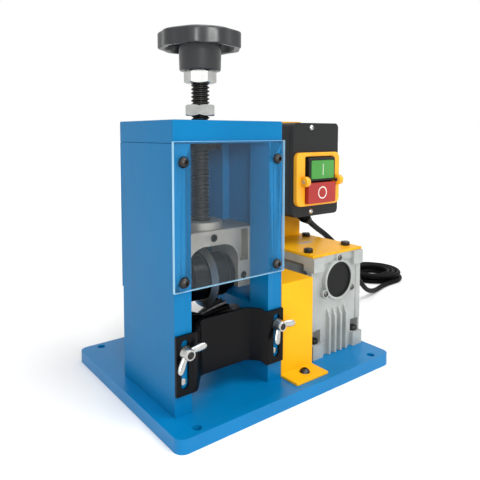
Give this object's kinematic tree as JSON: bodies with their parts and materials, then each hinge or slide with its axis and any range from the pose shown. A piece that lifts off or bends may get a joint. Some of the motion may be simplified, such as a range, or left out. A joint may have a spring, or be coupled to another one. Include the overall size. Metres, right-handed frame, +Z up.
{
  "type": "electric wire stripper",
  "caption": "Bench wire stripper: a worm gear motor turns a grooved feed roller under a disc blade, whose carriage is set in height by a hand screw.",
  "frame": {"origin": "middle of the base plate's underside, which stands on the bench", "axes": "+X to the right along the roller shafts, +Y to the back with the wire's travel, +Z up"},
  "size_m": [0.6432, 0.318, 0.395],
  "materials": {
    "blue_paint": "gloss",
    "yellow_paint": "gloss",
    "clear_acrylic": "gloss",
    "cast_aluminium": "as cast",
    "bright_steel": "machined",
    "dark_steel": "dark oxide",
    "zinc": "zinc plated",
    "bronze": "machined",
    "black_sheet": "satin",
    "black_plastic": "satin",
    "knob_plastic": "fine grain",
    "bezel_plastic": "gloss",
    "green_plastic": "gloss",
    "red_plastic": "gloss",
    "cord_rubber": "satin"
  },
  "bodies": {
    "frame": {"base_plate": "blue_paint", "left_side_plate": "blue_paint", "right_side_plate": "blue_paint", "top_plate": "blue_paint", "back_panel": "blue_paint", "tower_screws": "dark_steel", "screw_bush": "bronze", "front_guard": "clear_acrylic", "guard_screws": "dark_steel", "coupling_cover": "yellow_paint", "cover_bolts": "dark_steel", "roller_bearings": "bright_steel", "gearbox_housing": "cast_aluminium", "gearbox_end_cap": "black_plastic", "end_cap_screws": "bright_steel", "output_covers": "cast_aluminium", "worm_bearings": "bright_steel", "gearbox_bolts": "dark_steel", "switch_bracket": "yellow_paint", "bracket_bolts": "dark_steel", "switch_box": "black_plastic", "switch_cover": "black_plastic", "switch_bezel": "bezel_plastic", "bezel_pins": "zinc", "switch_screws": "bright_steel", "contact_block": "black_plastic", "motor_flange": "cast_aluminium", "motor_frame": "cast_aluminium", "fan_cowl": "black_sheet", "terminal_box": "cast_aluminium", "cord_gland": "cord_rubber", "power_cord": "cord_rubber", "cord_coil": "cord_rubber", "plug_body": "cord_rubber", "plug_pins": "zinc"},
    "lift": {"carriage": "cast_aluminium", "blade_bushes": "bronze", "screw_retainer": "cast_aluminium"},
    "blade": {"blade_shaft": "bright_steel", "blade_disc": "dark_steel", "blade_spacers": "dark_steel"},
    "screw": {"adjusting_screw": "dark_steel", "knob": "knob_plastic", "lock_nut": "zinc", "stop_nut": "zinc"},
    "feed": {"feed_shaft": "bright_steel", "feed_roller": "dark_steel", "shaft_coupling": "bright_steel", "output_shaft": "bright_steel", "worm_wheel": "bronze"},
    "worm": {"worm_shaft": "bright_steel", "motor_rotor": "bright_steel", "cooling_fan": "black_plastic"},
    "guide": {"wire_guide": "black_sheet"},
    "wing_left": {"left_wing_screw": "zinc"},
    "wing_right": {"right_wing_screw": "zinc"},
    "start": {"start_button": "green_plastic"},
    "stop": {"stop_button": "red_plastic"}
  },
  "joints": [
    {"name": "lift_slide", "type": "slide", "parent": "frame", "child": "lift", "axis": [0, 0, 1], "range_m": [-0.0055, 0.03]},
    {"name": "screw_turn", "type": "hinge", "parent": "lift", "child": "screw", "pos_m": [-0.067, -0.03, 0.3], "axis": [0, 0, 1], "range_deg": [-505, 2710]},
    {"name": "blade_spin", "type": "hinge", "parent": "lift", "child": "blade", "pos_m": [-0.067, -0.03, 0.1265], "axis": [1, 0, 0], "continuous": true},
    {"name": "worm_spin", "type": "hinge", "parent": "frame", "child": "worm", "pos_m": [0.101, -0.03, 0.104], "axis": [0, 1, 0], "continuous": true},
    {"name": "feed_spin", "type": "hinge", "parent": "frame", "child": "feed", "pos_m": [-0.067, -0.03, 0.064], "axis": [1, 0, 0], "continuous": true},
    {"name": "guide_slide", "type": "slide", "parent": "frame", "child": "guide", "axis": [0, 0, 1], "range_m": [-0.007, 0.032]},
    {"name": "wing_left_turn", "type": "hinge", "parent": "frame", "child": "wing_left", "pos_m": [-0.1245, -0.086, 0.0773], "axis": [0, 1, 0], "range_deg": [-360, 360]},
    {"name": "wing_right_turn", "type": "hinge", "parent": "frame", "child": "wing_right", "pos_m": [-0.0095, -0.086, 0.0773], "axis": [0, 1, 0], "range_deg": [-360, 360]},
    {"name": "start_press", "type": "slide", "parent": "frame", "child": "start", "axis": [0, 1, 0], "range_m": [0, 0.004], "stiffness_N_per_m": 300},
    {"name": "stop_press", "type": "slide", "parent": "frame", "child": "stop", "axis": [0, 1, 0], "range_m": [0, 0.004], "stiffness_N_per_m": 300}
  ],
  "couplings": [
    {"joint": "screw_turn", "follows": "lift_slide", "rad_per_m": 1570.8},
    {"joint": "feed_spin", "follows": "worm_spin", "ratio": 0.033333}
  ]
}
